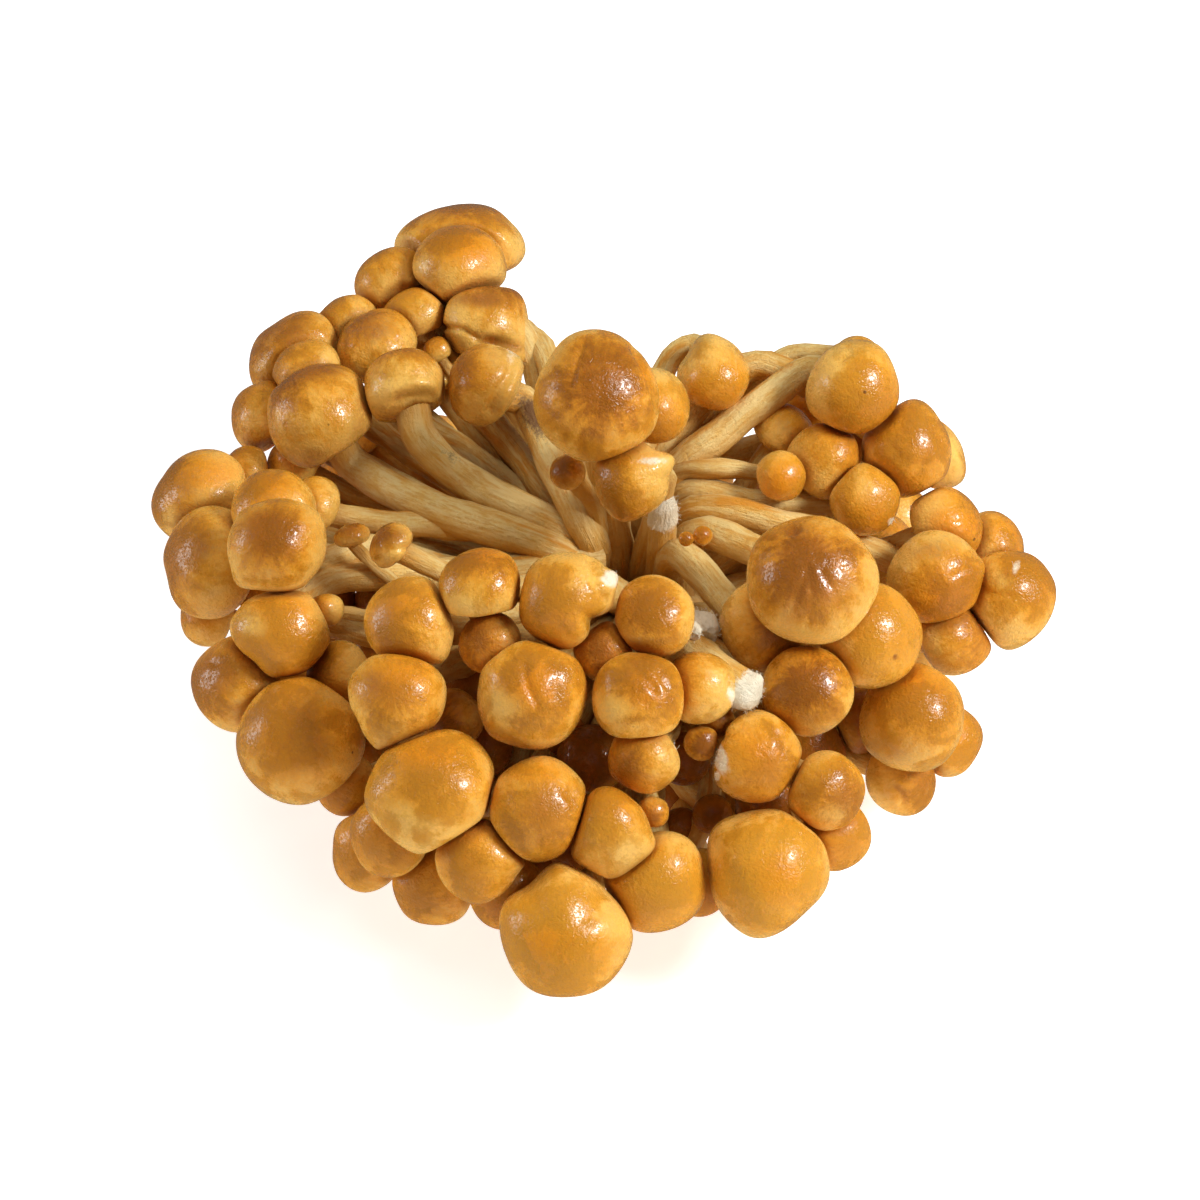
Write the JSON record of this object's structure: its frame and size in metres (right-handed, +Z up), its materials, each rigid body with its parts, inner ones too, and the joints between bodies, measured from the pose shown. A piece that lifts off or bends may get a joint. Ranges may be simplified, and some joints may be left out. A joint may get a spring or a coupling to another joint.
{
  "type": "nameko mushroom cluster",
  "caption": "Bunch of small round glossy mushrooms crowded on curved stems that part from one cut base, standing on the cut.",
  "frame": {"origin": "middle of the butt's flat cut face, which the bunch stands on", "axes": "+Z up, square to the cut face; the front of the bunch faces -Y and +X is to the right of someone facing it"},
  "size_m": [0.1585, 0.1638, 0.0862],
  "materials": {
    "cap_skin": "wet semi-gloss skin over translucent flesh",
    "stem_flesh": "matt fibrous"
  },
  "bodies": {
    "root": {"cap_back_03": "cap_skin", "cap_back_06": "cap_skin", "cap_back_08": "cap_skin", "cap_back_09": "cap_skin", "cap_back_10": "cap_skin", "cap_crown_02": "cap_skin", "cap_crown_03": "cap_skin", "cap_crown_04": "cap_skin", "cap_deep_01": "cap_skin", "cap_deep_02": "cap_skin", "cap_deep_03": "cap_skin", "cap_deep_04": "cap_skin", "cap_deep_05": "cap_skin", "cap_deep_07": "cap_skin", "cap_deep_08": "cap_skin", "cap_deep_09": "cap_skin", "cap_deep_10": "cap_skin", "cap_deep_12": "cap_skin", "cap_front_02": "cap_skin", "cap_front_03": "cap_skin", "cap_front_04": "cap_skin", "cap_front_05": "cap_skin", "cap_front_left_02": "cap_skin", "cap_front_right_02": "cap_skin", "cap_front_right_06": "cap_skin", "cap_high_04": "cap_skin", "cap_high_05": "cap_skin", "cap_left_02": "cap_skin", "cap_left_03": "cap_skin", "cap_left_04": "cap_skin", "cap_right_03": "cap_skin", "cap_right_05": "cap_skin", "caps_back_01": "cap_skin", "caps_back_02": "cap_skin", "caps_back_04": "cap_skin", "caps_back_05": "cap_skin", "caps_back_07": "cap_skin", "caps_crown_01": "cap_skin", "caps_deep_06": "cap_skin", "caps_deep_11": "cap_skin", "caps_front_01": "cap_skin", "caps_front_06": "cap_skin", "caps_front_07": "cap_skin", "caps_front_left_01": "cap_skin", "caps_front_left_03": "cap_skin", "caps_front_left_04": "cap_skin", "caps_front_right_01": "cap_skin", "caps_front_right_03": "cap_skin", "caps_front_right_04": "cap_skin", "caps_front_right_05": "cap_skin", "caps_high_01": "cap_skin", "caps_high_02": "cap_skin", "caps_high_03": "cap_skin", "caps_high_06": "cap_skin", "caps_left_01": "cap_skin", "caps_right_01": "cap_skin", "caps_right_02": "cap_skin", "caps_right_04": "cap_skin", "caps_right_06": "cap_skin", "stems_and_butt": "stem_flesh"}
  },
  "joints": []
}
